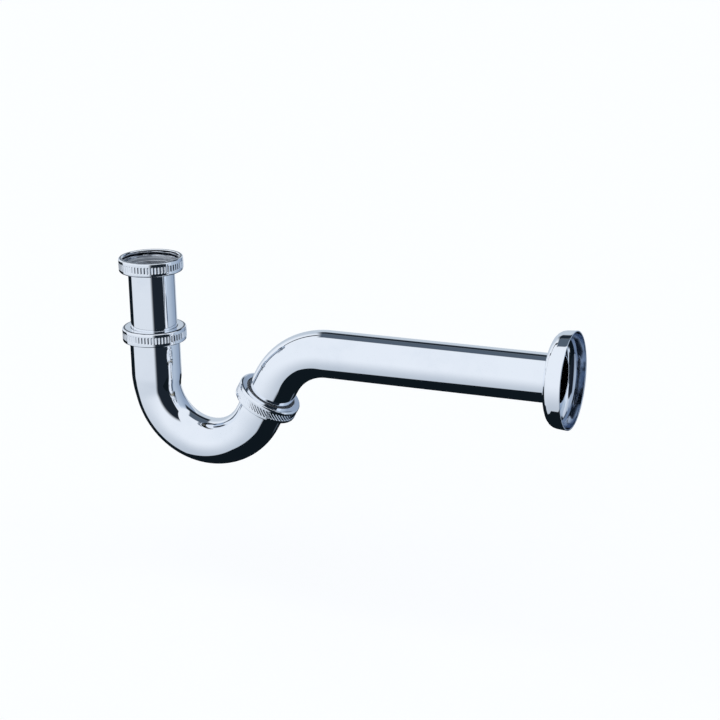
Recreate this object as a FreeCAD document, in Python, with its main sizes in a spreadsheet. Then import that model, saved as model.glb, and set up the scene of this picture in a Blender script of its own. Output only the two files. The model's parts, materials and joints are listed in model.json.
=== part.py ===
import FreeCAD, Part
import math
import os

import Sketcher

# A tubular P trap for a wash basin: a union nut and a height-adjustable inlet tube, a J-shaped
# trap bend, an inclined union joint, and a wall tube with a sliding cover rosette.
#
# Millimetres and degrees. +Z is up and +X runs along the wall tube towards the wall. The origin
# is on the inlet axis, on the washer face that the basin waste seals against.

SIZES = {
    # tubes
    "tube_radius": 16.0,          # outside radius of the 32 mm tube
    "tube_wall": 1.0,
    "socket_radius": 17.3,        # widened leg of the bend that takes the inlet tube
    "socket_bore": 16.1,
    "socket_stop": 2.5,           # height over which its bore narrows above the bend
    "taper_turn": 8.5,            # part of the bend over which it narrows outside
    "taper_inner": 15.5,
    "bend_drop": 83.2,            # from the washer face down to where the bend starts
    "bend_radius": 41.0,
    "bend_sweep": 151.0,
    "wall_bend_radius": 44.0,
    "outlet_rise": 33.0,          # straight stretch between the two bends
    "outlet_reach": 160.9,        # level run of the wall tube
    "spigot_radius": 15.82,       # the wall tube's free end
    "spigot_length": 4.0,
    "inlet_tube_end": 75.2,       # depth of the inlet tube's lower end
    # union nuts
    "nut_radius": 22.1,
    "nut_height": 9.6,
    "nut_rounding": 1.4,
    "nut_pull_face": 1.2,         # thickness of the inward shoulder
    "nut_bore": 20.25,            # plain bore that stands for a hidden thread
    "ferrule_radius": 20.2,
    "flute_count": 60,
    "flute_radius": 0.75,
    "flute_depth": 0.45,
    "flute_height": 4.7,
    "flute_skew": 50.0,           # the outlet nut's flutes run diagonally
    # visible pipe thread of the inlet nut
    "thread_minor": 19.475,
    "thread_major": 20.955,
    "thread_pitch": 2.309,
    "thread_root": 0.35,
    "thread_crest": 0.42,
    "thread_turns": 2,
    "thread_relief": 20.4,
    "thread_lead_in": 0.3,
    # inlet end
    "inlet_nut_top": 4.8,
    "washer_height": 1.8,
    "washer_bore": 15.4,
    "collar_height": 1.2,
    "collar_radius": 19.2,
    "slip_height": 0.55,
    "slip_radius": 19.3,
    "slide_gap": 0.05,            # gap between faces that slide on each other
    "nut_hole": 16.35,
    # joint at the head of the bend
    "bend_nut_top": 44.6,
    "seal_head": 0.95,
    "seal_cone": 2.2,
    "seal_radius": 19.0,
    "seal_shoulder": 18.55,
    "seal_tip": 16.9,
    "seal_bore": 16.03,
    "bend_ferrule_length": 6.35,
    # inclined joint between the bend and the wall tube
    "outlet_nut_base": 12.8,      # distances along the joint axis, from the end of the bend
    "outlet_ferrule_base": 13.3,
    "outlet_ferrule_length": 4.0,
    "gasket_height": 1.3,
    "gasket_bore": 15.3,
    "gasket_radius": 19.0,
    "outlet_nut_hole": 17.5,
    "outlet_slip_height": 1.25,
    "outlet_slip_neck": 0.75,
    "outlet_slip_neck_radius": 17.1,
    "slip_bore": 16.08,
    # wall rosette
    "rosette_depth": 13.0,
    "rosette_front_radius": 30.9,
    "rosette_rim_radius": 31.9,
    "rosette_sheet": 0.9,
    "rosette_hole": 16.6,
    "rosette_shoulder": 8.0,
    "rosette_overhang": 7.2,      # how far the rim stands past the wall tube's end
    "grip_lip_radius": 17.5,
    "grip_neck_radius": 16.5,
    "grip_back_radius": 18.6,
    "grip_lip": 0.65,
    "grip_back": 0.7,
}

doc = FreeCAD.newDocument("p_trap")
sheet = doc.addObject("Spreadsheet::Sheet", "Sizes")
for row, (alias, number) in enumerate(SIZES.items(), start=1):
    sheet.set(f"A{row}", alias.replace("_", " "))
    sheet.set(f"B{row}", str(number))
    sheet.setAlias(f"B{row}", alias)
doc.recompute()


class Size:
    """A number together with the spreadsheet expression that gives it."""

    def __init__(self, text, value):
        self.text = text
        self.value = value

    def __add__(self, other):
        other = as_size(other)
        return Size(f"({self.text} + {other.text})", self.value + other.value)

    def __sub__(self, other):
        other = as_size(other)
        return Size(f"({self.text} - {other.text})", self.value - other.value)

    def __mul__(self, other):
        other = as_size(other)
        return Size(f"({self.text} * {other.text})", self.value * other.value)

    def __truediv__(self, other):
        other = as_size(other)
        return Size(f"({self.text} / {other.text})", self.value / other.value)

    def __neg__(self):
        return Size(f"(0 - {self.text})", -self.value)


def as_size(number):
    if isinstance(number, Size):
        return number
    return Size(str(number), float(number))


def size(alias):
    return Size(f"Sizes.{alias}", float(SIZES[alias]))


def sine(angle):
    return Size(f"sin({angle.text} * 1 deg)", math.sin(math.radians(angle.value)))


def cosine(angle):
    return Size(f"cos({angle.text} * 1 deg)", math.cos(math.radians(angle.value)))


ZERO = as_size(0)
LEVEL = as_size(90)


def new_body(name):
    body = doc.addObject("PartDesign::Body", name)
    body.Label = name
    return body


def origin_feature(body, role):
    for feature in body.Origin.OriginFeatures:
        if feature.Role == role:
            return feature
    raise ValueError(role)


def new_sketch(body, name, plane):
    sketch = body.newObject("Sketcher::SketchObject", name)
    sketch.AttachmentSupport = [(origin_feature(body, plane), "")]
    sketch.MapMode = "FlatFace"
    return sketch


def bind(sketch, kind, *where):
    """Add a dimension whose last argument is a Size, and tie it to the sheet."""
    length = where[-1]
    index = sketch.addConstraint(Sketcher.Constraint(kind, *where[:-1], length.value))
    sketch.setExpression(f"Constraints[{index}]", length.text)


def pin_down(sketch, geometry, end, across, up):
    """Fix one end of a piece of geometry at (across, up) from the sketch's origin."""
    if abs(across.value) < 1e-9:
        sketch.addConstraint(Sketcher.Constraint("PointOnObject", geometry, end, -2))
    else:
        bind(sketch, "DistanceX", -1, 1, geometry, end, across)
    if abs(up.value) < 1e-9:
        sketch.addConstraint(Sketcher.Constraint("PointOnObject", geometry, end, -1))
    else:
        bind(sketch, "DistanceY", -1, 1, geometry, end, up)


def outline(body, name, plane, corners):
    """A closed polygon sketch through the corners, each a pair of Sizes."""
    sketch = new_sketch(body, name, plane)
    places = [FreeCAD.Vector(across.value, up.value, 0) for across, up in corners]
    count = len(places)
    for index in range(count):
        line = Part.LineSegment(places[index], places[(index + 1) % count])
        sketch.addGeometry(line, False)
    for index, (across, up) in enumerate(corners):
        sketch.addConstraint(Sketcher.Constraint("Coincident", index, 2, (index + 1) % count, 1))
        pin_down(sketch, index, 1, across, up)
    return sketch


def turned(body, name, corners):
    """Add material by turning an outline of (radius, height) corners about the body's Z axis."""
    sketch = outline(body, name + "_outline", "XZ_Plane", corners)
    feature = body.newObject("PartDesign::Revolution", name)
    feature.Profile = (sketch, [""])
    feature.ReferenceAxis = (sketch, ["V_Axis"])
    feature.Angle = 360.0
    body.Tip = feature
    return feature


def turned_out(body, name, corners):
    """Cut material away by turning an outline about the body's Z axis."""
    sketch = outline(body, name + "_outline", "XZ_Plane", corners)
    feature = body.newObject("PartDesign::Groove", name)
    feature.Profile = (sketch, [""])
    feature.ReferenceAxis = (sketch, ["V_Axis"])
    feature.Angle = 360.0
    body.Tip = feature
    return feature


def circular_edges(shape, radius, height):
    """Names of the full circles of this radius at this height about the Z axis."""
    names = []
    for index, edge in enumerate(shape.Edges, start=1):
        curve = edge.Curve
        if not isinstance(curve, Part.Circle):
            continue
        if abs(curve.Radius - radius.value) < 1e-4 and abs(curve.Center.z - height.value) < 1e-4:
            names.append(f"Edge{index}")
    return names


def dress(body, kind, name, base, circles, amount):
    """Fillet or chamfer the circles, each a (radius, height) pair, of the base feature."""
    doc.recompute()
    edges = []
    for radius, height in circles:
        edges += circular_edges(base.Shape, radius, height)
    assert len(edges) == len(circles), (body.Label, name, edges)
    feature = body.newObject(f"PartDesign::{kind}", name)
    feature.Base = (base, edges)
    bound = "Radius" if kind == "Fillet" else "Size"
    feature.setExpression(bound, amount.text)
    body.Tip = feature
    return feature


def ring(body, name, inner, outer, low, high):
    return turned(body, name, [(inner, low), (outer, low), (outer, high), (inner, high)])


def place(body, across, up, tilt):
    """Put a body at (across, 0, up), its Z axis tipped from vertical towards +X by tilt."""
    rotation = FreeCAD.Rotation(FreeCAD.Vector(0, 1, 0), tilt.value)
    body.Placement = FreeCAD.Placement(FreeCAD.Vector(across.value, 0, up.value), rotation)
    body.setExpression("Placement.Base.x", across.text)
    body.setExpression("Placement.Base.z", up.text)


# ---------------------------------------------------------------- shared places

tube_radius = size("tube_radius")
tube_bore = tube_radius - size("tube_wall")
slide_gap = size("slide_gap")
bend_start = -size("bend_drop")
sweep = size("bend_sweep")
joint_tilt = as_size(180) - sweep

# end of the bend, and the inclined joint's axis, which leans by joint_tilt from vertical
bend_end_x = size("bend_radius") * (as_size(1) - cosine(sweep))
bend_end_z = bend_start - size("bend_radius") * sine(sweep)


def along_joint(distance):
    """The point at this distance along the inclined joint's axis, as (x, z)."""
    across = bend_end_x + distance * sine(joint_tilt)
    up = bend_end_z + distance * cosine(joint_tilt)
    return across, up


def place_on_joint(body, distance):
    across, up = along_joint(distance)
    place(body, across, up, joint_tilt)


stub_end = size("outlet_ferrule_base") + size("outlet_ferrule_length")
wall_tube_start = stub_end + size("gasket_height")
wall_bend_sweep = sweep - as_size(90)
wall_bend_start = along_joint(size("outlet_rise"))
run_start_x = wall_bend_start[0] + size("wall_bend_radius") * (as_size(1) - cosine(wall_bend_sweep)) \
    * cosine(joint_tilt) + size("wall_bend_radius") * sine(wall_bend_sweep) * sine(joint_tilt)
run_height = wall_bend_start[1] - size("wall_bend_radius") * (as_size(1) - cosine(wall_bend_sweep)) \
    * sine(joint_tilt) + size("wall_bend_radius") * sine(wall_bend_sweep) * cosine(joint_tilt)
run_end_x = run_start_x + size("outlet_reach")


# ---------------------------------------------------------------- union nuts

def fluted(body, base, skew):
    """Cut the grip flutes round the middle of a nut whose lower face is at height 0."""
    nut_radius = size("nut_radius")
    length = size("flute_height") / cosine(skew)
    centre = nut_radius + size("flute_radius") - size("flute_depth")
    flute = body.newObject("PartDesign::SubtractiveCylinder", "flute")
    flute.setExpression("Radius", size("flute_radius").text)
    flute.setExpression("Height", length.text)
    turn = FreeCAD.Rotation(FreeCAD.Vector(1, 0, 0), skew.value)
    half = turn.multVec(FreeCAD.Vector(0, 0, length.value / 2))
    middle = FreeCAD.Vector(centre.value, 0, SIZES["nut_height"] / 2)
    flute.Placement = FreeCAD.Placement(middle - half, turn)
    body.Tip = flute
    doc.recompute()
    assert flute.Shape.Volume < base.Shape.Volume
    pattern = body.newObject("PartDesign::PolarPattern", "flutes")
    pattern.Originals = [flute]
    pattern.Axis = (origin_feature(body, "Z_Axis"), [""])
    pattern.Angle = 360.0
    pattern.setExpression("Occurrences", size("flute_count").text)
    body.Tip = pattern
    return pattern


def union_nut(name, hole, bore):
    """A plain-bored union nut standing on its open end, its shoulder at the top."""
    body = new_body(name)
    outer = size("nut_radius")
    top = size("nut_height")
    shoulder = top - size("nut_pull_face")
    shell = turned(body, "shell", [
        (bore, ZERO), (outer, ZERO), (outer, top), (hole, top), (hole, shoulder), (bore, shoulder)])
    rounded = dress(body, "Fillet", "rounding", shell, [(outer, ZERO), (outer, top)],
                    size("nut_rounding"))
    return body, rounded


def make_inlet_nut():
    """The union nut that grips the basin waste, open and threaded upwards."""
    body = new_body("inlet_nut")
    outer = size("nut_radius")
    top = size("nut_height")
    floor = size("nut_pull_face") - slide_gap
    seat = top - size("inlet_nut_top")
    minor = size("thread_minor")
    relief = size("thread_relief")
    hole = size("nut_hole")
    shell = turned(body, "shell", [
        (hole, ZERO), (outer, ZERO), (outer, top), (minor, top),
        (minor, seat), (relief, seat), (relief, floor), (hole, floor)])
    rounded = dress(body, "Fillet", "rounding", shell, [(outer, ZERO), (outer, top)],
                    size("nut_rounding"))
    lead_in = dress(body, "Chamfer", "lead_in", rounded, [(minor, top)], size("thread_lead_in"))
    # one V groove of the thread, then its repeats up the bore
    major = size("thread_major")
    pitch = size("thread_pitch")
    middle = seat + pitch / 2
    half_root = size("thread_root") / 2
    half_mouth = (pitch - size("thread_crest")) / 2
    turned_out(body, "thread_groove", [
        (minor - as_size(0.2), middle - half_mouth), (minor, middle - half_mouth),
        (major, middle - half_root), (major, middle + half_root),
        (minor, middle + half_mouth), (minor - as_size(0.2), middle + half_mouth)])
    groove = body.Tip
    doc.recompute()
    assert groove.Shape.Volume < lead_in.Shape.Volume
    thread = body.newObject("PartDesign::LinearPattern", "thread")
    thread.Originals = [groove]
    thread.Direction = (origin_feature(body, "Z_Axis"), [""])
    thread.setExpression("Length", (pitch * (size("thread_turns") - as_size(1))).text)
    thread.setExpression("Occurrences", size("thread_turns").text)
    body.Tip = thread
    doc.recompute()
    fluted(body, thread, ZERO)
    place(body, ZERO, size("inlet_nut_top") - top, ZERO)


def make_bend_nut():
    """The union nut that squeezes the cone seal round the inlet tube."""
    body, rounded = union_nut("bend_nut", size("nut_hole"), size("nut_bore"))
    doc.recompute()
    fluted(body, rounded, ZERO)
    place(body, ZERO, -size("bend_nut_top") - size("nut_height"), ZERO)


def make_outlet_nut():
    """The union nut of the inclined joint, with diagonal flutes."""
    body, rounded = union_nut("outlet_nut", size("outlet_nut_hole"), size("nut_bore"))
    doc.recompute()
    fluted(body, rounded, size("flute_skew"))
    place_on_joint(body, size("outlet_nut_base"))


# ---------------------------------------------------------------- inlet end

def make_inlet_washer():
    body = new_body("inlet_washer")
    ring(body, "disc", size("washer_bore"), size("collar_radius"), ZERO, size("washer_height"))
    place(body, ZERO, -size("washer_height"), ZERO)


def make_inlet_collar():
    """The ring brazed round the head of the inlet tube, which the nut pulls up."""
    body = new_body("inlet_collar")
    ring(body, "collar", tube_radius, size("collar_radius"), ZERO, size("collar_height"))
    place(body, ZERO, -size("washer_height") - size("collar_height"), ZERO)


def make_inlet_slip_ring():
    body = new_body("inlet_slip_ring")
    ring(body, "disc", size("slip_bore"), size("slip_radius"), ZERO, size("slip_height"))
    top = size("washer_height") + size("collar_height") + slide_gap
    place(body, ZERO, -top - size("slip_height"), ZERO)


def make_inlet_tube():
    body = new_body("inlet_tube")
    length = size("inlet_tube_end") - size("washer_height")
    wall = ring(body, "wall", tube_bore, tube_radius, ZERO, length)
    dress(body, "Chamfer", "lower_edge", wall, [(tube_radius, ZERO), (tube_bore, ZERO)],
          size("tube_wall") / 4)
    place(body, ZERO, -size("inlet_tube_end"), ZERO)


# ---------------------------------------------------------------- joint at the head of the bend

seal_top = -size("bend_nut_top") - size("nut_pull_face") - size("slip_height") - slide_gap * 2
seal_base = seal_top - size("seal_head") - size("seal_cone")


def make_bend_slip_ring():
    body = new_body("bend_slip_ring")
    ring(body, "disc", size("slip_bore"), size("slip_radius"), ZERO, size("slip_height"))
    place(body, ZERO, seal_top + slide_gap, ZERO)


def make_bend_cone_seal():
    """The rubber seal: a flat head over a cone that the nut drives into its seat."""
    body = new_body("bend_cone_seal")
    cone = size("seal_cone")
    head = cone + size("seal_head")
    turned(body, "rubber", [
        (size("seal_bore"), ZERO), (size("seal_tip"), ZERO), (size("seal_shoulder"), cone),
        (size("seal_radius"), cone), (size("seal_radius"), head), (size("seal_bore"), head)])
    place(body, ZERO, seal_base, ZERO)


def make_bend_ferrule():
    """The threaded collar brazed round the head of the bend, with the seal's conical seat."""
    body = new_body("bend_ferrule")
    top = size("bend_ferrule_length")
    seat = top - size("seal_cone") - slide_gap
    turned(body, "collar", [
        (size("socket_radius"), ZERO), (size("ferrule_radius"), ZERO),
        (size("ferrule_radius"), top), (size("seal_shoulder") + slide_gap * 2, top),
        (size("seal_tip") + slide_gap * 2, seat), (size("socket_radius"), seat)])
    place(body, ZERO, seal_base + size("seal_cone") - slide_gap - top, ZERO)


bend_head = seal_base - slide_gap * 2


# ---------------------------------------------------------------- the trap bend

def tube_section(body, name, inner, outer):
    """Two circles about the body's origin, in its XY plane."""
    sketch = new_sketch(body, name, "XY_Plane")
    for index, radius in enumerate((outer, inner)):
        circle = Part.Circle(FreeCAD.Vector(0, 0, 0), FreeCAD.Vector(0, 0, 1), radius.value)
        sketch.addGeometry(circle, False)
        sketch.addConstraint(Sketcher.Constraint("Coincident", index, 3, -1, 1))
        bind(sketch, "Radius", index, radius)
    return sketch


def section_on_bend(body, name, radius, turn, inner, outer):
    """Two circles square to a bend from the body's origin, turn degrees round it towards +X."""
    sketch = tube_section(body, name, inner, outer)
    across = radius * (as_size(1) - cosine(turn))
    up = -radius * sine(turn)
    rotation = FreeCAD.Rotation(FreeCAD.Vector(0, 1, 0), -turn.value)
    sketch.AttachmentOffset = FreeCAD.Placement(
        FreeCAD.Vector(across.value, 0, up.value), rotation)
    sketch.setExpression("AttachmentOffset.Base.x", across.text)
    sketch.setExpression("AttachmentOffset.Base.z", up.text)
    return sketch


def bent_path(body, name, lead, radius, turn, tail):
    """A tube's centre line from the body's origin: a straight lead down, a bend towards +X
    through turn degrees, and a straight tail. The bend starts at the origin if lead is None."""
    path = new_sketch(body, name, "XZ_Plane")
    start = ZERO
    if lead is not None:
        start = -lead
        top = path.addGeometry(Part.LineSegment(
            FreeCAD.Vector(0, 0, 0), FreeCAD.Vector(0, start.value, 0)), False)
        path.addConstraint(Sketcher.Constraint("Coincident", top, 1, -1, 1))
        path.addConstraint(Sketcher.Constraint("Vertical", top))
        bind(path, "Distance", top, lead)
    corner_x = radius * (as_size(1) - cosine(turn))
    corner_y = start - radius * sine(turn)
    tip_x = corner_x + tail * sine(turn)
    tip_y = corner_y - tail * cosine(turn)
    circle = Part.Circle(
        FreeCAD.Vector(radius.value, start.value, 0), FreeCAD.Vector(0, 0, 1), radius.value)
    first = math.radians(180)
    last = math.radians(180 + turn.value)
    bend = path.addGeometry(Part.ArcOfCircle(circle, first, last), False)
    end = path.addGeometry(Part.LineSegment(
        FreeCAD.Vector(corner_x.value, corner_y.value, 0),
        FreeCAD.Vector(tip_x.value, tip_y.value, 0)), False)
    if lead is None:
        path.addConstraint(Sketcher.Constraint("Coincident", bend, 1, -1, 1))
        path.addConstraint(Sketcher.Constraint("PointOnObject", bend, 3, -1))
    else:
        path.addConstraint(Sketcher.Constraint("Tangent", top, 2, bend, 1))
    bind(path, "Radius", bend, radius)
    bind(path, "DistanceX", -1, 1, bend, 2, corner_x)
    path.addConstraint(Sketcher.Constraint("Tangent", bend, 2, end, 1))
    bind(path, "Distance", end, tail)
    return path


def swept_tube(body, name, path):
    """Sweep the tube's wall along all of the path."""
    section = tube_section(body, name + "_section", tube_bore, tube_radius)
    feature = body.newObject("PartDesign::AdditivePipe", name)
    feature.Profile = (section, [""])
    edges = [f"Edge{number}" for number in range(1, path.GeometryCount + 1)]
    feature.Spine = (path, edges)
    body.Tip = feature
    doc.recompute()
    return feature


def make_trap_bend():
    """The J bend: a straight widened leg that narrows into a 151 degree bend, and a short
    inclined stub."""
    body = new_body("trap_bend")
    path = bent_path(body, "bend_path", None, size("bend_radius"), sweep, stub_end)
    swept_tube(body, "bend_tube", path)
    head = bend_head - bend_start
    widened = size("socket_radius")
    turned(body, "socket", [
        (tube_bore, ZERO), (widened, ZERO), (widened, head), (size("socket_bore"), head),
        (size("socket_bore"), size("socket_stop"))])
    inner = size("taper_inner")
    wide_end = tube_section(body, "taper_wide_end", inner, widened)
    narrow_end = section_on_bend(
        body, "taper_narrow_end", size("bend_radius"), size("taper_turn"), inner, tube_radius)
    taper = body.newObject("PartDesign::AdditiveLoft", "taper")
    taper.Profile = (wide_end, [""])
    taper.Sections = [(narrow_end, [""])]
    taper.Ruled = True
    body.Tip = taper
    place(body, ZERO, bend_start, ZERO)


# ---------------------------------------------------------------- inclined joint

def make_outlet_ferrule():
    """The threaded collar brazed round the end of the bend."""
    body = new_body("outlet_ferrule")
    ring(body, "collar", tube_radius, size("ferrule_radius"), ZERO,
         size("outlet_ferrule_length"))
    place_on_joint(body, size("outlet_ferrule_base"))


def make_outlet_gasket():
    body = new_body("outlet_gasket")
    ring(body, "disc", size("gasket_bore"), size("gasket_radius"), ZERO, size("gasket_height"))
    place_on_joint(body, stub_end)


def make_outlet_collar():
    """The ring brazed round the lower end of the wall tube."""
    body = new_body("outlet_collar")
    ring(body, "collar", tube_radius, size("collar_radius"), ZERO, size("collar_height"))
    place_on_joint(body, wall_tube_start)


def make_outlet_slip_ring():
    """A stepped ring whose neck shows in the nut's hole."""
    body = new_body("outlet_slip_ring")
    step = size("outlet_slip_height")
    top = step + size("outlet_slip_neck")
    inner = size("slip_bore")
    neck = size("outlet_slip_neck_radius")
    turned(body, "ring", [
        (inner, ZERO), (size("slip_radius"), ZERO), (size("slip_radius"), step),
        (neck, step), (neck, top), (inner, top)])
    place_on_joint(body, wall_tube_start + size("collar_height") + slide_gap)


def make_outlet_tube():
    """The wall tube: the level run, a bend and a short inclined stretch down to the joint.
    Its free end is sized down a hair for the wall socket."""
    body = new_body("outlet_tube")
    riser = size("outlet_rise") - wall_tube_start
    path = bent_path(body, "run_path", size("outlet_reach"), size("wall_bend_radius"),
                     wall_bend_sweep, riser)
    tube = swept_tube(body, "wall_tube", path)
    spigot = size("spigot_radius")
    shoulder = -size("spigot_length")
    outside = tube_radius + as_size(0.5)
    turned_out(body, "spigot", [
        (spigot, shoulder), (outside, shoulder), (outside, ZERO), (spigot, ZERO)])
    doc.recompute()
    assert body.Shape.Volume < tube.Shape.Volume
    place(body, run_end_x, run_height, LEVEL)


# ---------------------------------------------------------------- rosette

rosette_face_x = run_end_x + size("rosette_overhang") - size("rosette_depth")


def make_rosette():
    """A shallow drawn cup with a rounded shoulder, its open side to the wall."""
    body = new_body("rosette")
    front = size("rosette_front_radius")
    rim = size("rosette_rim_radius")
    sheet_metal = size("rosette_sheet")
    depth = size("rosette_depth")
    hole = size("rosette_hole")
    cup = turned(body, "cup", [
        (hole, ZERO), (front, ZERO), (rim, depth), (rim - sheet_metal, depth),
        (front - sheet_metal, sheet_metal), (hole, sheet_metal)])
    outside = dress(body, "Fillet", "shoulder", cup, [(front, ZERO)], size("rosette_shoulder"))
    dress(body, "Fillet", "inner_shoulder", outside, [(front - sheet_metal, sheet_metal)],
          size("rosette_shoulder") - sheet_metal)
    place(body, rosette_face_x, run_height, LEVEL)


def make_rosette_grip_ring():
    """The rubber grommet in the rosette's hole, which grips the wall tube."""
    body = new_body("rosette_grip_ring")
    bore = size("seal_bore")
    lip = size("grip_lip")
    neck_end = lip + size("rosette_sheet") + slide_gap * 2
    back = neck_end + size("grip_back")
    neck = size("grip_neck_radius")
    turned(body, "grommet", [
        (bore, ZERO), (size("grip_lip_radius"), ZERO), (size("grip_lip_radius"), lip),
        (neck, lip), (neck, neck_end), (size("grip_back_radius"), neck_end),
        (size("grip_back_radius"), back), (bore, back)])
    place(body, rosette_face_x - lip - slide_gap, run_height, LEVEL)


make_inlet_nut()
make_inlet_washer()
make_inlet_collar()
make_inlet_slip_ring()
make_inlet_tube()
make_bend_nut()
make_bend_slip_ring()
make_bend_cone_seal()
make_bend_ferrule()
make_trap_bend()
make_outlet_ferrule()
make_outlet_gasket()
make_outlet_slip_ring()
make_outlet_nut()
make_outlet_collar()
make_outlet_tube()
make_rosette()
make_rosette_grip_ring()
doc.recompute()

for item in doc.Objects:
    faults = [state for state in item.State if state in ("Invalid", "Error")]
    if faults:
        raise RuntimeError(f"{item.Name} is {faults}")

bodies = [item for item in doc.Objects if item.TypeId == "PartDesign::Body"]
os.makedirs("parts", exist_ok=True)
for body in bodies:
    shape = body.Shape
    if shape.isNull() or not shape.isValid() or len(shape.Solids) != 1:
        raise RuntimeError(f"{body.Label} has no single valid solid")
    shape.exportStep(f"parts/{body.Label}.step")
    box = shape.BoundBox
    print(f"{body.Label:20s} {shape.Volume:10.1f} mm3  x {box.XMin:7.2f} {box.XMax:7.2f}"
          f"  y {box.YMin:7.2f} {box.YMax:7.2f}  z {box.ZMin:7.2f} {box.ZMax:7.2f}")
print(f"bend end x {bend_end_x.value:.3f} z {bend_end_z.value:.3f}")
print(f"run axis z {run_height.value:.3f}, from x {run_start_x.value:.3f} to {run_end_x.value:.3f}")
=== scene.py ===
import json
import math

import bpy
import numpy as np
from mathutils import Matrix, Vector


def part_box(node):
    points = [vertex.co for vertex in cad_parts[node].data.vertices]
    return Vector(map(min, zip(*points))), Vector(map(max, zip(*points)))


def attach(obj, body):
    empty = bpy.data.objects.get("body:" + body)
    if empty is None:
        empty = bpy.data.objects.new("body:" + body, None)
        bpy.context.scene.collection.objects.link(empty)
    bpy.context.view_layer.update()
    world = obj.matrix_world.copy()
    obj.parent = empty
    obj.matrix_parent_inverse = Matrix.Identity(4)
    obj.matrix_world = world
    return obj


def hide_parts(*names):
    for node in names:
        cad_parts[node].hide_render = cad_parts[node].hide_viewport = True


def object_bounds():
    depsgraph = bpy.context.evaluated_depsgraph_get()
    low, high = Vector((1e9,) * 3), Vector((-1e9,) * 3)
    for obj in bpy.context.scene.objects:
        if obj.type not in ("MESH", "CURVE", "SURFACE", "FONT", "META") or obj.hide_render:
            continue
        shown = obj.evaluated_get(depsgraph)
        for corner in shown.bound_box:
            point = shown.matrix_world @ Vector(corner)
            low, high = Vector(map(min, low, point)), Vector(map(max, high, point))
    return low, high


# The looks of a chromed tubular P trap: every piece is built again here as a fine, rounded and
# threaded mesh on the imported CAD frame, with procedural materials and a small photo studio.
# Lengths are millimetres until the meshes are made; Blender's own unit is the metre.

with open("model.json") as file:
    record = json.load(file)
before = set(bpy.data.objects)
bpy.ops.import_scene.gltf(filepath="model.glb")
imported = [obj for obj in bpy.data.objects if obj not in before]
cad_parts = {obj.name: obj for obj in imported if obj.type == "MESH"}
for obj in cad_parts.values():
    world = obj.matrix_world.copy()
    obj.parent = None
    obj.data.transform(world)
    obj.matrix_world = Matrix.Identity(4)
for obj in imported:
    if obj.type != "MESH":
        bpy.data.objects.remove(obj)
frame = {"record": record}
cad_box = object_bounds()
record = frame["record"]

MM = 0.001
TAU = 2 * math.pi

# ---------------------------------------------------------------- sizes

TUBE = 16.0
BORE = 15.0
SOCKET = 17.3
SOCKET_BORE = 16.1
SOCKET_STOP = 2.5
BORE_ROUNDING = 2.0
TAPER = 6.08
TAPER_LEAD = 3.0            # the narrowing starts softly, this far above the bend
TAPER_TAIL = 2.5
TAPER_ROUNDING = 40.0
BEND_RADIUS = 41.0
WALL_BEND_RADIUS = 44.0
# union nuts
NUT = 22.1
NUT_HEIGHT = 9.6
NUT_ROUNDING = 1.4
NUT_HOLE = 16.35
NUT_PULL_FACE = 1.2
NUT_BORE = 20.25
NUT_BORE_ROOT = 21.0
OUTLET_NUT_HOLE = 17.5
OUTLET_NUT_BASE = 12.8      # from the end of the bend, along the inclined joint
# threads
PITCH = 2.309
MAJOR_FLAT = 0.35           # flat at a thread's larger radius
MINOR_FLAT = 0.42           # flat at its smaller radius
THREAD_FADE = 0.4
INLET_THREAD_ROOT = 20.955
INLET_RELIEF = 20.4
INLET_LEAD_IN = 0.45
INLET_PULL_FACE = 1.15
INLET_THREAD_STOP = 0.2
NUT_THREAD_FROM = 0.4
NUT_THREAD_STOP = 2.2
FERRULE = 20.2
FERRULE_ROOT = 19.35
FERRULE_SEAT = 18.65
FERRULE_SEAT_FOOT = 17.0
FERRULE_SEAT_DEPTH = 2.15
FERRULE_THREAD_MARGIN = 0.1
OUTLET_FERRULE_FROM = 0.5   # both from the foot of the outlet nut
OUTLET_FERRULE_TO = 4.5
# rings inside the joints
COLLAR = 19.2
COLLAR_HEIGHT = 1.2
WASHER_BORE = 15.4
SLIP_BORE = 16.08
SLIP = 19.3
SLIDE_GAP = 0.05
OUTLET_SLIP_NECK = 17.1
OUTLET_SLIP_STEP = 1.25
OUTLET_SLIP_HEIGHT = 2.0
SEAL_BORE = 16.03
SEAL_TIP = 16.9
SEAL_SHOULDER = 18.55
SEAL = 19.0
SEAL_CONE = 2.2
GASKET = 19.0
GASKET_BORE = 15.3
GASKET_HEIGHT = 1.3
# rosette and its grommet
ROSETTE_HOLE = 16.6
ROSETTE_FRONT = 30.9
ROSETTE_RIM = 31.9
ROSETTE_SHEET = 0.9
ROSETTE_SHOULDER = 8.0
GRIP_LIP = 17.5
GRIP_NECK = 16.5
GRIP_BACK = 18.6
GRIP_LIP_HEIGHT = 0.65
GRIP_NECK_HEIGHT = 1.0
# grip flutes
FLUTES = 60
FLUTE_DEPTH = 0.45
FLUTE_HALF_WIDTH = 0.72
FLUTE_HALF_HEIGHT = 2.35
FLUTE_RUN_OUT = 0.35
OUTLET_FLUTE_SKEW = math.radians(-50)
# masks of the inlet's inside
INSIDE_FLOOR = -80.0
INSIDE_TUBE = 15.5
THREAD_ROOT_FROM = 20.2
THREAD_ROOT_TO = 21.3
# roundings of plain rings, from the inner foot round to the inner top
BRAZED_EDGES = (0.05, 0.2, 0.2, 0.05)
WASHER_EDGES = (0.2, 0.2, 0.3, 0.3)
SLIP_EDGES = (0.1, 0.12, 0.12, 0.1)
GASKET_EDGES = (0.15, 0.15, 0.15, 0.15)
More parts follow.
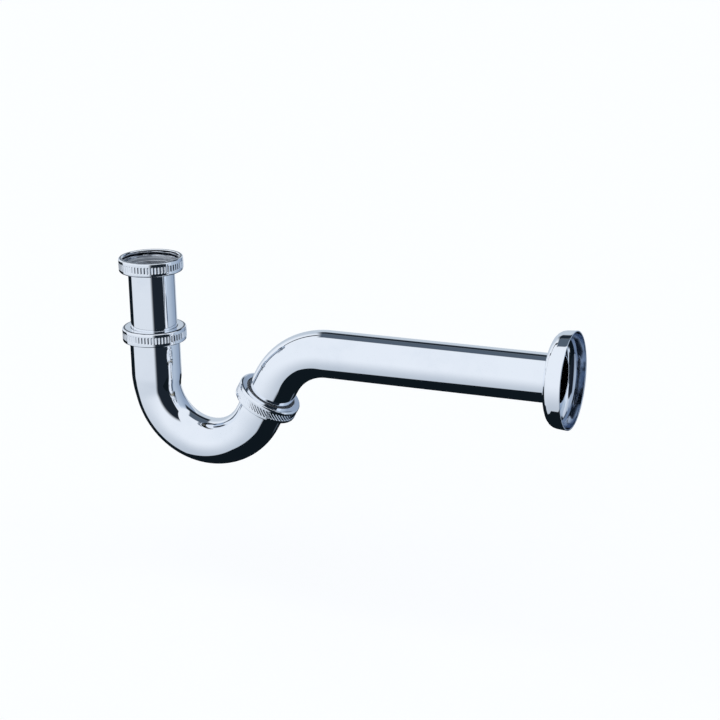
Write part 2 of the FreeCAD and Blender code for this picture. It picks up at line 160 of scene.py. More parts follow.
# meshes
SHARP_EDGE = math.radians(32)
TUBE_SEGMENTS = 160
NUT_SEGMENTS = 10 * FLUTES
FERRULE_SEGMENTS = 300
PLAIN_STEP = 3.0
BENT_STEP = 1.0
ROSETTE_STEP = 0.8
GRIP_STEP = 0.5
THREADED_STEP = 0.2
ON_WALL = 0.01              # how near a wall's own radius a point counts as being on it


# ---------------------------------------------------------------- paths and outlines

class Path:
    """A piece's axis in the XZ plane: straight, then perhaps a bend and a straight again.
    Heights along it are millimetres from its start; heading is the angle from +X to +Z."""

    def __init__(self, start, heading, lead=0.0, radius=0.0, turn=0.0):
        self.start = np.array(start, float)
        self.heading = heading
        self.lead = lead
        self.radius = radius
        self.turn = turn
        self.arc = radius * abs(turn)

    def at(self, heights):
        """Points on the axis and the directions out of it, in the XZ plane, for each height."""
        heights = np.asarray(heights, float)
        along = np.clip(heights - self.lead, 0.0, self.arc)
        side = math.copysign(1.0, self.turn)
        turned = side * along / self.radius if self.arc else np.zeros_like(heights)
        heading = self.heading + turned
        first = np.array((math.cos(self.heading), math.sin(self.heading)))
        left = np.array((-first[1], first[0]))
        points = self.start + np.minimum(heights, self.lead)[:, None] * first
        if self.arc:
            centre = self.radius * side * left
            spoke = np.stack([np.sin(heading), -np.cos(heading)], axis=1) * side * self.radius
            points = points + centre + spoke
            rest = np.clip(heights - self.lead - self.arc, 0.0, None)
            points = points + rest[:, None] * np.stack([np.cos(heading), np.sin(heading)], axis=1)
        else:
            points = points + np.clip(heights - self.lead, 0.0, None)[:, None] * first
        return points, np.stack([np.sin(heading), -np.cos(heading)], axis=1)


def rounded(corners, steps=5):
    """A closed outline from (radius, height, rounding) corners."""
    points = []
    for k, (radius, height, rounding) in enumerate(corners):
        here = np.array((radius, height), float)
        back = np.array(corners[k - 1][:2], float) - here
        on = np.array(corners[(k + 1) % len(corners)][:2], float) - here
        long_back = np.linalg.norm(back)
        long_on = np.linalg.norm(on)
        back /= long_back
        on /= long_on
        half = math.acos(np.clip(back @ on, -1, 1)) / 2
        if not rounding or half > math.radians(89.9):
            points.append(here)
            continue
        reach = min(rounding / math.tan(half), 0.49 * long_back, 0.49 * long_on)
        middle = (back + on) / np.linalg.norm(back + on)
        centre = here + middle * reach / math.cos(half)
        first = here + back * reach - centre
        last = here + on * reach - centre
        sweep = math.pi - 2 * half
        for t in np.linspace(0, 1, steps + 1):
            spoke = math.sin((1 - t) * sweep) * first + math.sin(t * sweep) * last
            points.append(centre + spoke / math.sin(sweep))
    return np.array(points)


def refined(outline, step):
    """The same closed outline with no side longer than step."""
    points = []
    for here, after in zip(outline, np.roll(outline, -1, axis=0)):
        parts = max(1, math.ceil(np.linalg.norm(after - here) / step - 1e-6))
        for k in range(parts):
            points.append(here + (after - here) * k / parts)
    return np.array(points)


def turned(name, path, outline, segments=TUBE_SEGMENTS, shape=None):
    """The closed outline of (radius, height) points turned about the path, as a ring mesh.
    shape(angle, radius, height) gives the radius where it isn't the outline's own."""
    angle = TAU * np.arange(segments)[:, None] / segments
    radius = np.broadcast_to(outline[:, 0], (segments, len(outline)))
    height = np.broadcast_to(outline[:, 1], radius.shape)
    if shape:
        radius = shape(angle, radius, height)
    points, out = path.at(outline[:, 1])
    x = points[:, 0] + radius * np.cos(angle) * out[:, 0]
    z = points[:, 1] + radius * np.cos(angle) * out[:, 1]
    y = radius * np.sin(angle)
    rows = np.stack([x, y, z], axis=-1) * MM
    i = np.arange(segments)[:, None] * len(outline)
    j = np.arange(len(outline))[None, :]
    after_i = (i + len(outline)) % (segments * len(outline))
    after_j = (j + 1) % len(outline)
    quads = np.stack([i + j, i + after_j, after_i + after_j, after_i + j], axis=-1)
    mesh = bpy.data.meshes.new(name)
    mesh.from_pydata(rows.reshape(-1, 3).tolist(), [], quads.reshape(-1, 4).tolist())
    if signed_volume(rows.reshape(-1, 3), quads.reshape(-1, 4)) < 0:
        mesh.flip_normals()
    mesh.shade_smooth()
    mesh.set_sharp_from_angle(angle=SHARP_EDGE)
    piece = bpy.data.objects.new(name, mesh)
    bpy.context.collection.objects.link(piece)
    return piece


def signed_volume(points, quads):
    """Six times the volume inside a closed quad mesh, negative if it is inside out."""
    a, b, c, d = (points[quads[:, k]] for k in range(4))
    return float(np.sum(a * np.cross(b, c)) + np.sum(a * np.cross(c, d)))


# ---------------------------------------------------------------- surface detail

def smooth(value):
    """A soft step from 0 to 1."""
    value = np.clip(value, 0, 1)
    return value * value * (3 - 2 * value)


def flutes(middle, skew=0.0):
    """A band of grip flutes round a nut's outside, leaning by skew."""
    def shape(angle, radius, height):
        apart = TAU * NUT / FLUTES
        around = (angle * NUT - (height - middle) * math.tan(skew)) % apart
        across = np.minimum(around, apart - around) * math.cos(skew)
        groove = np.cos(np.clip(across / FLUTE_HALF_WIDTH, 0, 1) * math.pi / 2) ** 2
        inward = FLUTE_HALF_HEIGHT - np.abs(height - middle)
        depth = FLUTE_DEPTH * groove * smooth(inward / FLUTE_RUN_OUT)
        return np.where(radius > NUT - ON_WALL, radius - depth, radius)
    return shape


def thread(crest, root, low, high, crest_flat, root_flat):
    """A right-handed pipe thread on the wall at the crest's radius, between two heights."""
    def shape(angle, radius, height):
        turn = (height - PITCH * angle / TAU) % PITCH
        off = np.abs(turn - PITCH / 2)
        slope = (PITCH - crest_flat - root_flat) / 2
        into = smooth((off - root_flat / 2) / slope)
        cut = root + (crest - root) * into
        on_wall = (np.abs(radius - crest) < ON_WALL) & (height > low) & (height < high)
        faded = smooth(np.minimum(height - low, high - height) / THREAD_FADE)
        return np.where(on_wall, crest + (cut - crest) * faded, radius)
    return shape


def both(first, second):
    """Two shapes, one after the other."""
    def shape(angle, radius, height):
        return second(angle, first(angle, radius, height), height)
    return shape


# ---------------------------------------------------------------- materials

def new_material(name):
    """A material with an empty node tree but for its shader and output."""
    material = bpy.data.materials.new(name)
    material.use_nodes = True
    tree = material.node_tree
    tree.nodes.clear()
    output = tree.nodes.new("ShaderNodeOutputMaterial")
    shader = tree.nodes.new("ShaderNodeBsdfPrincipled")
    tree.links.new(shader.outputs["BSDF"], output.inputs["Surface"])
    return material, tree, shader


def add(tree, kind, inputs=None, **settings):
    """A node with its settings made and its inputs filled or linked."""
    node = tree.nodes.new(kind)
    for key, value in settings.items():
        setattr(node, key, value)
    for key, value in (inputs or {}).items():
        if isinstance(value, bpy.types.NodeSocket):
            tree.links.new(value, node.inputs[key])
        else:
            node.inputs[key].default_value = value
    return node


def noise(tree, scale, detail=3.0, roughness=0.5, stretch=None):
    """Noise in the piece's own metres; stretch scales its axes."""
    place = add(tree, "ShaderNodeTexCoord").outputs["Object"]
    if stretch:
        place = add(tree, "ShaderNodeMapping", {"Vector": place, "Scale": stretch}).outputs[0]
    return add(tree, "ShaderNodeTexNoise", {
        "Vector": place, "Scale": scale, "Detail": detail, "Roughness": roughness}).outputs["Fac"]


def between(tree, value, low, high, start, end):
    """value from low to high, carried over to start to end."""
    return add(tree, "ShaderNodeMapRange", {
        "Value": value, "From Min": low, "From Max": high, "To Min": start,
        "To Max": end}, interpolation_type="SMOOTHSTEP").outputs["Result"]


def mixed(tree, factor, first, second):
    """The first colour at factor 0 and the second at 1."""
    node = add(tree, "ShaderNodeMix", {"Factor": factor}, data_type="RGBA")
    for slot, value in ((6, first), (7, second)):
        if isinstance(value, bpy.types.NodeSocket):
            tree.links.new(value, node.inputs[slot])
        else:
            node.inputs[slot].default_value = (*value, 1.0)
    return node.outputs[2]


def bumped(tree, shader, height, distance, strength=1.0):
    bump = add(tree, "ShaderNodeBump", {
        "Height": height, "Distance": distance, "Strength": strength})
    tree.links.new(bump.outputs["Normal"], shader.inputs["Normal"])


def maths(tree, operation, *values):
    node = tree.nodes.new("ShaderNodeMath")
    node.operation = operation
    for socket, value in zip(node.inputs, values):
        if isinstance(value, bpy.types.NodeSocket):
            tree.links.new(value, socket)
        else:
            socket.default_value = value
    return node.outputs[0]


def within(tree, axis, radius):
    """The offset of a point from the run's X axis or the inlet's Z axis, as a vector, and a mask
    that is 1 where it is shorter than radius millimetres."""
    centre = (0.0, 0.0, run[2] * MM) if axis == "X" else (inlet[0] * MM, 0.0, 0.0)
    across = (0.0, 1.0, 1.0) if axis == "X" else (1.0, 1.0, 0.0)
    place = add(tree, "ShaderNodeTexCoord").outputs["Object"]
    offset = add(tree, "ShaderNodeVectorMath", {0: place, 1: centre}, operation="SUBTRACT")
    flat = add(tree, "ShaderNodeVectorMath", {0: offset.outputs[0], 1: across},
               operation="MULTIPLY").outputs[0]
    length = add(tree, "ShaderNodeVectorMath", {0: flat}, operation="LENGTH").outputs["Value"]
    return flat, maths(tree, "LESS_THAN", length, radius * MM)


def inside_inlet(tree, radius):
    """1 within this radius of the inlet's axis and above the bend, 0 elsewhere."""
    _, near = within(tree, "Z", radius)
    place = add(tree, "ShaderNodeTexCoord").outputs["Object"]
    height = add(tree, "ShaderNodeSeparateXYZ", {"Vector": place}).outputs["Z"]
    return maths(tree, "MULTIPLY", near, maths(tree, "GREATER_THAN", height, INSIDE_FLOOR * MM))


def painted_thread_root_shade(tree):
    """1 down in the roots of the inlet nut's thread, where shade is painted in as a near-black
    colour.
    """
    _, shallow = within(tree, "Z", THREAD_ROOT_FROM)
    deep = maths(tree, "SUBTRACT", 1.0, shallow)
    return maths(tree, "MULTIPLY", deep, inside_inlet(tree, THREAD_ROOT_TO))


def inside_rosette(tree):
    """1 on the rosette's hollow side, which is drawn and not polished."""
    flat, near = within(tree, "X", ROSETTE_FRONT)
    normal = add(tree, "ShaderNodeTexCoord").outputs["Normal"]
    outward = add(tree, "ShaderNodeVectorMath", {0: flat, 1: normal}, operation="DOT_PRODUCT")
    facing_in = maths(tree, "LESS_THAN", outward.outputs["Value"], -0.001)
    along = add(tree, "ShaderNodeSeparateXYZ", {"Vector": normal}).outputs["X"]
    floor_side = maths(tree, "MULTIPLY", near, maths(tree, "GREATER_THAN", along, 0.3))
    return maths(tree, "MAXIMUM", facing_in, floor_side)


def painted_rosette_wall_reflection(tree):
    """1 on the inside of the rosette's wall, where a blue-grey colour stands in for a painted dark
    reflection.
    """
    flat, _ = within(tree, "X", ROSETTE_FRONT)
    normal = add(tree, "ShaderNodeTexCoord").outputs["Normal"]
    inward = add(tree, "ShaderNodeVectorMath", {
        0: add(tree, "ShaderNodeVectorMath", {0: flat}, operation="NORMALIZE").outputs[0],
        1: normal}, operation="DOT_PRODUCT").outputs["Value"]
    return between(tree, inward, -0.95, -0.75, 1.0, 0.0)


def chrome(name, bright, dull, smoothest, roughest, inside, satin, painted_light_mask=None, painted_light_colour=None):
    """Bright chrome plate with faint water haze, fine polishing marks and a soft waviness.
    inside(tree) masks the surfaces that are only satin. The last two arguments, a mask and a
    colour, paint light into the plate: painted shade in the nut's thread roots and a painted
    reflection on the rosette's inner wall."""
    material, tree, shader = new_material(name)
    haze = between(tree, noise(tree, 28.0, 4.0, 0.6), 0.42, 0.72, 0.0, 1.0)
    spots = between(tree, noise(tree, 420.0, 2.0), 0.66, 0.80, 0.0, 1.0)
    marks = noise(tree, 900.0, 2.0, 0.5, (0.06, 1.0, 1.0))
    colour = mixed(tree, haze, bright, dull)
    if painted_light_mask:
        # painted shade and painted reflection go into the base colour here
        colour = mixed(tree, painted_light_mask(tree), colour, painted_light_colour)
    tree.links.new(colour, shader.inputs["Base Color"])
    rough = between(tree, haze, 0.0, 1.0, smoothest, roughest)
    rough = maths(tree, "ADD", rough, maths(tree, "MULTIPLY", spots, 0.05))
    rough = maths(tree, "ADD", rough, maths(tree, "MULTIPLY", marks, 0.012))
    rough = maths(tree, "MAXIMUM", rough, maths(tree, "MULTIPLY", inside(tree), satin))
    tree.links.new(rough, shader.inputs["Roughness"])
    shader.inputs["Metallic"].default_value = 1.0
    bumped(tree, shader, noise(tree, 160.0, 2.0), 0.00001, 0.35)
    return material


def rubber(name, plain, bloomed, roughness):
    """Rubber with a fine moulded grain and a little bloom."""
    material, tree, shader = new_material(name)
    bloom = between(tree, noise(tree, 90.0, 4.0, 0.6), 0.45, 0.75, 0.0, 1.0)
    tree.links.new(mixed(tree, bloom, plain, bloomed), shader.inputs["Base Color"])
    rough = between(tree, bloom, 0.0, 1.0, roughness, roughness + 0.2)
    tree.links.new(rough, shader.inputs["Roughness"])
    bumped(tree, shader, noise(tree, 2500.0, 3.0), 0.00004, 0.6)
    return material


def plastic(name):
    """Dark grey low-friction plastic, faintly mottled."""
    material, tree, shader = new_material(name)
    mottle = noise(tree, 320.0, 4.0, 0.6)
    colour = mixed(tree, mottle, (0.085, 0.088, 0.096), (0.16, 0.165, 0.175))
    tree.links.new(colour, shader.inputs["Base Color"])
    tree.links.new(between(tree, mottle, 0.3, 0.7, 0.38, 0.55), shader.inputs["Roughness"])
    bumped(tree, shader, noise(tree, 1800.0, 2.0), 0.00003, 0.5)
    return material


def plated_brass(name):
    """Turned brass under dull plate: turning marks and warmer worn patches."""
    material, tree, shader = new_material(name)
    worn = between(tree, noise(tree, 140.0, 4.0, 0.6), 0.45, 0.7, 0.0, 1.0)
    colour = mixed(tree, worn, (0.62, 0.58, 0.50), (0.66, 0.52, 0.28))
    tree.links.new(colour, shader.inputs["Base Color"])
    tree.links.new(between(tree, worn, 0.0, 1.0, 0.22, 0.36), shader.inputs["Roughness"])
    shader.inputs["Metallic"].default_value = 1.0
    bumped(tree, shader, noise(tree, 1500.0, 2.0, 0.5, (0.1, 0.1, 1.0)), 0.00003, 0.5)
    return material


# ---------------------------------------------------------------- where things are

mounts = {mount["name"]: mount for mount in record["mounts"]}
joints = {joint["name"]: joint for joint in record["behaviour"]["joints"]}
slot_of = {part["node"]: part["material_slot"] for part in record["subparts"]}
body_of = {node: body for body, nodes in record["behaviour"]["bodies"].items() for node in nodes}


def low(node):
    return np.array(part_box(node)[0]) / MM


def high(node):
    return np.array(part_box(node)[1]) / MM


def span(node):
    """The heights of an upright piece's foot and top."""
    return low(node)[2], high(node)[2]


inlet = np.array(mounts["inlet_thread"]["pos_m"]) / MM
inlet_path = Path((inlet[0], inlet[2]), math.radians(90))
swivel = joints["trap_swivel"]
joint_at = np.array(swivel["pos_m"]) / MM
joint_heading = math.atan2(swivel["axis"][2], swivel["axis"][0])
joint_path = Path((joint_at[0], joint_at[2]), joint_heading)
run = np.array(mounts["outlet_pipe"]["pos_m"]) / MM
run_path = Path((0.0, run[2]), 0.0)

FINISHES = {
    "chrome_tube": chrome(
        "chrome_tube", (0.93, 0.95, 0.98), (0.87, 0.90, 0.94), 0.02, 0.05,
        lambda tree: inside_inlet(tree, INSIDE_TUBE), 0.3),
    "chrome_nut": chrome(
        "chrome_nut", (0.92, 0.94, 0.97), (0.86, 0.89, 0.93), 0.03, 0.07,
        # the nut's thread roots take a near-black colour: painted shade in the recesses
        lambda tree: inside_inlet(tree, THREAD_ROOT_TO), 0.12, painted_thread_root_shade, (0.04, 0.05, 0.07)),
    "chrome_rosette": chrome(
        "chrome_rosette", (0.93, 0.95, 0.98), (0.87, 0.90, 0.94), 0.03, 0.065,
        # the inside of the rosette's wall is tinted blue-grey: a painted reflection
        inside_rosette, 0.09, painted_rosette_wall_reflection, (0.40, 0.47, 0.58)),
    "rubber": rubber("rubber", (0.012, 0.012, 0.013), (0.035, 0.035, 0.036), 0.5),
    "pale_rubber": rubber("pale_rubber", (0.50, 0.53, 0.57), (0.58, 0.61, 0.65), 0.3),
    "slip_plastic": plastic("slip_plastic"),
    "plated_brass": plated_brass("plated_brass"),
}


def finish_piece(piece, node):
    """Give a piece its finish and its body, in place of its CAD node."""
    piece.data.materials.append(FINISHES[slot_of[node]])
    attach(piece, body_of[node])
    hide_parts(node)


def ring(node, path, corners, step=PLAIN_STEP, segments=TUBE_SEGMENTS, shape=None):
    """One piece, turned about its path from (radius, height, rounding) corners."""
    outline = refined(rounded(corners), step)
    finish_piece(turned(node + "_fine", path, outline, segments, shape), node)


def plain_ring(node, path, inner, outer, foot, top, roundings):
    places = ((inner, foot), (outer, foot), (outer, top), (inner, top))
    ring(node, path, [(*place, rounding) for place, rounding in zip(places, roundings)])


def union_nut(node, path, foot, top, hole, skew=0.0):
    """A fluted nut that pulls from its top, threaded inside."""
    pull_face = top - NUT_PULL_FACE
    inner_thread = thread(NUT_BORE, NUT_BORE_ROOT, foot + NUT_THREAD_FROM,
                          top - NUT_THREAD_STOP, MINOR_FLAT, MAJOR_FLAT)
    ring(node, path, [
        (hole, top, 0.3), (hole, pull_face, 0.2), (NUT_BORE, pull_face, 0.3),
        (NUT_BORE, foot, 0.35), (NUT, foot, NUT_ROUNDING), (NUT, top, NUT_ROUNDING)],
        THREADED_STEP, NUT_SEGMENTS, both(flutes((top + foot) / 2, skew), inner_thread))


def ferrule_thread(foot, top):
    return thread(FERRULE, FERRULE_ROOT, foot + FERRULE_THREAD_MARGIN,
                  top - FERRULE_THREAD_MARGIN, MAJOR_FLAT, MINOR_FLAT)


# ---------------------------------------------------------------- inlet end

foot, top = span("inlet_nut")
washer_foot, seat = span("inlet_washer")
pull_face = foot + INLET_PULL_FACE
crest = mounts["inlet_thread"]["dims"]["r_mm"]
inlet_thread = thread(crest, INLET_THREAD_ROOT, seat, top - INLET_THREAD_STOP,
                      MINOR_FLAT, MAJOR_FLAT)
ring("inlet_nut", inlet_path, [
    (NUT_HOLE, foot, 0.25), (NUT, foot, NUT_ROUNDING), (NUT, top, NUT_ROUNDING),
    (crest + INLET_LEAD_IN, top, 0.12), (crest, top - INLET_LEAD_IN, 0.05), (crest, seat, 0.05),
    (INLET_RELIEF, seat, 0.05), (INLET_RELIEF, pull_face, 0.3), (NUT_HOLE, pull_face, 0.2)],
    THREADED_STEP, NUT_SEGMENTS, both(flutes((top + foot) / 2), inlet_thread))
plain_ring("inlet_washer", inlet_path, WASHER_BORE, COLLAR, washer_foot, seat, WASHER_EDGES)
collar_foot = low("inlet_collar")[2]
plain_ring("inlet_collar", inlet_path, TUBE, COLLAR, collar_foot, washer_foot, BRAZED_EDGES)
foot, top = span("inlet_slip_ring")
plain_ring("inlet_slip_ring", inlet_path, SLIP_BORE, SLIP, foot, top, SLIP_EDGES)
tube_foot = low("inlet_tube")[2]
ring("inlet_tube", inlet_path, [
    (BORE, tube_foot, 0.25), (TUBE, tube_foot, 0.35), (TUBE, washer_foot, 0.1),
    (BORE, washer_foot, 0.3)])

# ---------------------------------------------------------------- joint at the head of the bend

foot, top = span("bend_nut")
union_nut("bend_nut", inlet_path, foot, top, NUT_HOLE)
foot, top = span("bend_slip_ring")
plain_ring("bend_slip_ring", inlet_path, SLIP_BORE, SLIP, foot, top, SLIP_EDGES)
foot, top = span("bend_cone_seal")
ring("bend_cone_seal", inlet_path, [
    (SEAL_BORE, foot, 0.15), (SEAL_TIP, foot, 0.15), (SEAL_SHOULDER, foot + SEAL_CONE, 0.1),
    (SEAL, foot + SEAL_CONE, 0.15), (SEAL, top, 0.2), (SEAL_BORE, top, 0.2)])
foot, top = span("bend_ferrule")
seat_foot = top - FERRULE_SEAT_DEPTH
ring("bend_ferrule", inlet_path, [
    (SOCKET, foot, 0.05), (FERRULE, foot, 0.3), (FERRULE, top, 0.25), (FERRULE_SEAT, top, 0.1),
    (FERRULE_SEAT_FOOT, seat_foot, 0.1), (SOCKET, seat_foot, 0.05)],
    THREADED_STEP, FERRULE_SEGMENTS, ferrule_thread(foot, top))

# ---------------------------------------------------------------- the trap bend

head = high("trap_bend")[2]
bend_start = low("trap_bend")[2] + TUBE + BEND_RADIUS
leg = head - bend_start
sweep = joint_heading + math.radians(90)
bend_path = Path((inlet[0], head), math.radians(-90), leg, BEND_RADIUS, sweep)
elbow_height = leg + bend_path.arc
elbow_end, _ = bend_path.at([elbow_height])
stub = OUTLET_NUT_BASE + OUTLET_FERRULE_TO
bend_end = elbow_height + stub
ring("trap_bend", bend_path, [
    (SOCKET_BORE, 0.0, 0.3), (SOCKET, 0.0, 0.3), (SOCKET, leg - TAPER_LEAD, TAPER_ROUNDING),
    (TUBE, leg + TAPER + TAPER_TAIL, TAPER_ROUNDING), (TUBE, bend_end, 0.3),
    (BORE, bend_end, 0.3), (BORE, leg, BORE_ROUNDING),
    (SOCKET_BORE, leg - SOCKET_STOP, BORE_ROUNDING)],
    BENT_STEP)

# ---------------------------------------------------------------- inclined joint

out_of_elbow = np.array((math.cos(joint_heading), math.sin(joint_heading)))
elbow_on_joint = float((elbow_end[0] - joint_path.start) @ out_of_elbow)
foot = elbow_on_joint + OUTLET_NUT_BASE + OUTLET_FERRULE_FROM
ferrule_top = elbow_on_joint + stub
ring("outlet_ferrule", joint_path, [
    (TUBE, foot, 0.05), (FERRULE, foot, 0.3), (FERRULE, ferrule_top, 0.25),
    (TUBE, ferrule_top, 0.05)],
    THREADED_STEP, FERRULE_SEGMENTS, ferrule_thread(foot, ferrule_top))
gasket_top = ferrule_top + GASKET_HEIGHT
plain_ring("outlet_gasket", joint_path, GASKET_BORE, GASKET, ferrule_top, gasket_top,
           GASKET_EDGES)
collar_top = gasket_top + COLLAR_HEIGHT
plain_ring("outlet_collar", joint_path, TUBE, COLLAR, gasket_top, collar_top, BRAZED_EDGES)
foot = collar_top + SLIDE_GAP
slip_step, top = foot + OUTLET_SLIP_STEP, foot + OUTLET_SLIP_HEIGHT
ring("outlet_slip_ring", joint_path, [
    (SLIP_BORE, foot, 0.1), (SLIP, foot, 0.12), (SLIP, slip_step, 0.12),
    (OUTLET_SLIP_NECK, slip_step, 0.05), (OUTLET_SLIP_NECK, top, 0.2), (SLIP_BORE, top, 0.2)])
foot = elbow_on_joint + OUTLET_NUT_BASE
union_nut("outlet_nut", joint_path, foot, foot + NUT_HEIGHT, OUTLET_NUT_HOLE, OUTLET_FLUTE_SKEW)

# ---------------------------------------------------------------- the wall tube

start, _ = joint_path.at([gasket_top])
to_run = (run[2] - start[0][1]) / math.sin(joint_heading)
tangent = WALL_BEND_RADIUS * math.tan(joint_heading / 2)
wall_path = Path(start[0], joint_heading, to_run - tangent, WALL_BEND_RADIUS, -joint_heading)
bent = wall_path.lead + wall_path.arc
wall_bend_end, _ = wall_path.at([bent])
run_end = bent + high("outlet_tube")[0] - wall_bend_end[0][0]
spigot = mounts["outlet_pipe"]["dims"]
shoulder = run_end - spigot["length_mm"]
ring("outlet_tube", wall_path, [
    (BORE, 0.0, 0.3), (TUBE, 0.0, 0.1), (TUBE, shoulder, 0.1),
    (spigot["r_mm"], shoulder, 0.1), (spigot["r_mm"], run_end, 0.3), (BORE, run_end, 0.25)],
    BENT_STEP)

# ---------------------------------------------------------------- rosette

face, rim = low("rosette")[0], high("rosette")[0]
sheet_back = face + ROSETTE_SHEET
ring("rosette", run_path, [
    (ROSETTE_HOLE, face, 0.3), (ROSETTE_FRONT, face, ROSETTE_SHOULDER),
    (ROSETTE_RIM, rim, 0.35), (ROSETTE_RIM - ROSETTE_SHEET, rim, 0.3),
    (ROSETTE_FRONT - ROSETTE_SHEET, sheet_back, ROSETTE_SHOULDER - ROSETTE_SHEET),
    (ROSETTE_HOLE, sheet_back, 0.3)],
    ROSETTE_STEP, 2 * TUBE_SEGMENTS)
lip, grip_end = low("rosette_grip_ring")[0], high("rosette_grip_ring")[0]
neck = lip + GRIP_LIP_HEIGHT
flange = neck + GRIP_NECK_HEIGHT
ring("rosette_grip_ring", run_path, [
    (SEAL_BORE, lip, 0.2), (GRIP_LIP, lip, 0.3), (GRIP_LIP, neck, 0.15), (GRIP_NECK, neck, 0.05),
    (GRIP_NECK, flange, 0.05), (GRIP_BACK, flange, 0.3), (GRIP_BACK, grip_end, 0.5),
    (SEAL_BORE, grip_end, 0.3)],
    GRIP_STEP)

# ---------------------------------------------------------------- studio

FLOOR_REACH = 6.0
FLOOR_DROP = 0.08
FLOOR_GLOW = 0.81

scene = bpy.context.scene
scene.view_settings.view_transform = "Standard"
scene.view_settings.look = "None"

floor_z = float(cad_box[0][2]) - FLOOR_DROP
floor_mesh = bpy.data.meshes.new("floor")
floor_mesh.from_pydata(
    [(x * FLOOR_REACH, y * FLOOR_REACH, floor_z) for x, y in ((-1, -1), (1, -1), (1, 1), (-1, 1))],
    [], [(0, 1, 2, 3)])
floor = bpy.data.objects.new("floor", floor_mesh)
bpy.context.collection.objects.link(floor)
floor.visible_glossy = False
floor_material, floor_tree, floor_shader = new_material("floor")
grain = noise(floor_tree, 40.0, 4.0)
floor_tree.links.new(mixed(floor_tree, grain, (0.30, 0.30, 0.30), (0.31, 0.31, 0.31)),
                     floor_shader.inputs["Base Color"])
floor_shader.inputs["Roughness"].default_value = 0.9
floor_shader.inputs["Specular IOR Level"].default_value = 0.0
floor_shader.inputs["Emission Color"].default_value = (0.985, 0.993, 1.0, 1.0)
floor_shader.inputs["Emission Strength"].default_value = FLOOR_GLOW
floor_mesh.materials.append(floor_material)

# ---------------------------------------------------------------- surroundings

# What the chrome reflects: soft panels, given as masks of the direction looked in. A mask fades
# over a span of degrees, or of a share of the direction's unit vector.

BELOW_HORIZON = (0.50, 0.56, 0.64)
ABOVE_HORIZON = (0.83, 0.88, 0.95)
PALE_WALL = (0.68, 0.77, 0.90)
GREY_WALL = (0.45, 0.54, 0.66)
BLUE_WALL = (0.29, 0.37, 0.50)
DARK_WALL = (0.13, 0.17, 0.24)
BACK_WALL = (0.55, 0.62, 0.70)
DARK_CARD = (0.012, 0.018, 0.027)
SLATE = (0.085, 0.115, 0.155)
WALL_EDGE = (0.014, 0.022, 0.032)
TABLE = (0.005, 0.009, 0.013)

world = bpy.data.worlds.new("studio")
scene.world = world
world.use_nodes = True
sky_tree = world.node_tree
sky_tree.nodes.clear()
background = sky_tree.nodes.new("ShaderNodeBackground")
output = sky_tree.nodes.new("ShaderNodeOutputWorld")
sky_tree.links.new(background.outputs[0], output.inputs["Surface"])
direction = add(sky_tree, "ShaderNodeTexCoord").outputs["Generated"]
east, north, up = add(sky_tree, "ShaderNodeSeparateXYZ", {"Vector": direction}).outputs
front = maths(sky_tree, "MULTIPLY", north, -1.0)
azimuth = maths(sky_tree, "ARCTAN2", east, front)
roll = maths(sky_tree, "ARCTAN2", up, front)


def over(value, start, end):
    """0 before start, 1 after end."""
    return between(sky_tree, value, start, end, 0.0, 1.0)


def below(value, start, end):
    """1 before start, 0 after end."""
    return maths(sky_tree, "SUBTRACT", 1.0, over(value, start, end))


def angle_over(value, start, end):
    return over(value, math.radians(start), math.radians(end))


def joined(operation, masks):
    result = masks[0]
    for mask in masks[1:]:
        result = maths(sky_tree, operation, result, mask)
    return result


def product(*masks):
    return joined("MULTIPLY", masks)


def either(*masks):
    return joined("MAXIMUM", masks)


def window(value, start, rise, fall, end):
    """1 from rise to fall, and 0 before start and after end."""
    return product(over(value, start, rise), below(value, fall, end))


def band(angle, *edges):
    """A window of degrees."""
    return window(angle, *(math.radians(edge) for edge in edges))


def sine(degrees):
    return math.sin(math.radians(degrees))


def toward(east_share, north_share, up_share):
    """The part of the direction along a vector."""
    return add(sky_tree, "ShaderNodeVectorMath", {
        0: direction, 1: (east_share, north_share, up_share)},
        operation="DOT_PRODUCT").outputs["Value"]


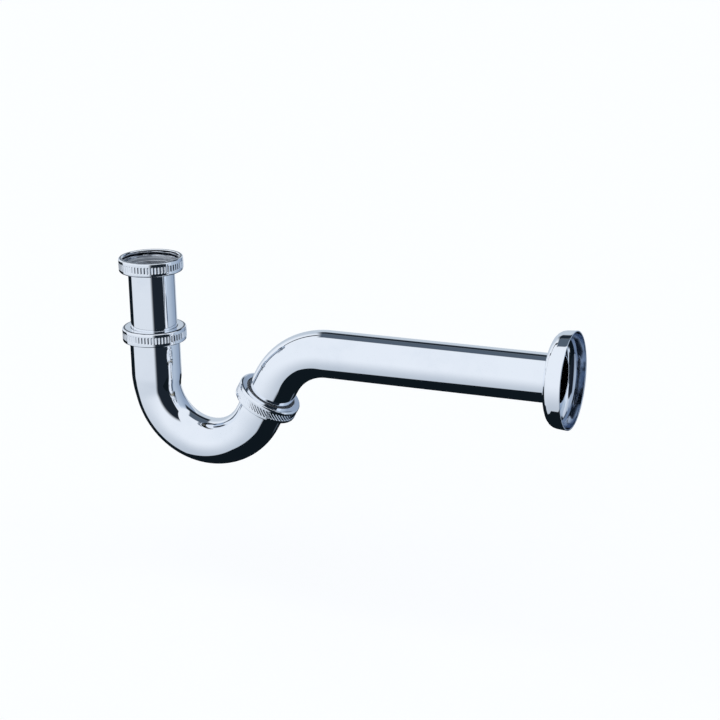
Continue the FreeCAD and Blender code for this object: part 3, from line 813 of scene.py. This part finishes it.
wall_top = below(up, sine(35), sine(50))
open_end = product(over(east, 0.15, 0.35), over(up, sine(-47), sine(-42)))
table_behind = product(over(north, -0.03, 0.0), over(toward(0, -0.344, -1), -0.01, 0.01),
                       maths(sky_tree, "SUBTRACT", 1.0, open_end))
table_before = product(over(toward(0, 1, -0.84), -0.01, 0.01), below(north, 0.02, 0.06),
                       over(toward(1, 0.55, -0.72), -0.01, 0.01), below(up, -0.35, -0.30))
table_under = below(up, sine(-63), sine(-57))
PANELS = [
    # from the right of the dark card round to the back the walls go from pale to blue-grey
    (product(angle_over(azimuth, 78, 84), wall_top), PALE_WALL),
    (product(angle_over(azimuth, 100, 108), wall_top), GREY_WALL),
    (product(angle_over(azimuth, 108, 160), wall_top), BLUE_WALL),
    (product(angle_over(azimuth, 160, 172), below(up, 0.0, 0.15)), DARK_WALL),
    # the wall behind is pale
    (product(over(north, 0.45, 0.7), below(east, -0.2, 0.1)), BACK_WALL),
    # a dark card stands to the right of the camera
    (product(angle_over(azimuth, 17, 32), over(toward(0, -1, -0.12), 0.105, 0.135),
             below(up, sine(45), sine(47))), DARK_CARD),
    # slate ceiling behind the overhead softbox, and the dark edge of the back wall
    (product(band(roll, 100, 103, 128, 131), window(east, -0.50, -0.42, 0.30, 0.38)), SLATE),
    (either(product(band(roll, 128, 131, 145, 149), window(east, -0.50, -0.42, 0.45, 0.55)),
            product(band(roll, 112, 114, 119, 121), below(east, -0.50, -0.42))), WALL_EDGE),
    # a black table reaches from under the part back to the wall, and a little to the front
    (either(table_behind, table_before, table_under), TABLE),
]
sky = mixed(sky_tree, over(up, sine(-70), sine(6)), BELOW_HORIZON, ABOVE_HORIZON)
for mask, colour in PANELS:
    sky = mixed(sky_tree, mask, sky, colour)
sky_tree.links.new(sky, background.inputs["Color"])
background.inputs["Strength"].default_value = 1.0

# ---------------------------------------------------------------- camera

CAMERA_AZIMUTH = math.radians(22.57)
CAMERA_ELEVATION = math.radians(17.77)
CAMERA_ROLL = math.radians(-0.96)
CAMERA_DISTANCE = 1.15188
CAMERA_LENS = 86.66
CAMERA_SENSOR = 36.0
CAMERA_CLIP = (0.01, 50.0)
AIM_FROM_CENTRE = Vector((13.5, 4.1, 13.0)) * MM

centre = (Vector(cad_box[0]) + Vector(cad_box[1])) / 2
away = Vector((math.sin(CAMERA_AZIMUTH) * math.cos(CAMERA_ELEVATION),
               -math.cos(CAMERA_AZIMUTH) * math.cos(CAMERA_ELEVATION),
               math.sin(CAMERA_ELEVATION)))
right = Vector((0, 0, 1)).cross(away).normalized()
upward = away.cross(right)
turn = Matrix((right, upward, away)).transposed() @ Matrix.Rotation(CAMERA_ROLL, 3, "Z")
place = Matrix.Translation(centre + AIM_FROM_CENTRE + away * CAMERA_DISTANCE)
camera_data = bpy.data.cameras.new("camera")
camera_data.lens = CAMERA_LENS
camera_data.sensor_width = CAMERA_SENSOR
camera_data.clip_start, camera_data.clip_end = CAMERA_CLIP
camera = bpy.data.objects.new("camera", camera_data)
camera.matrix_world = place @ turn.to_4x4()
bpy.context.collection.objects.link(camera)
scene.camera = camera
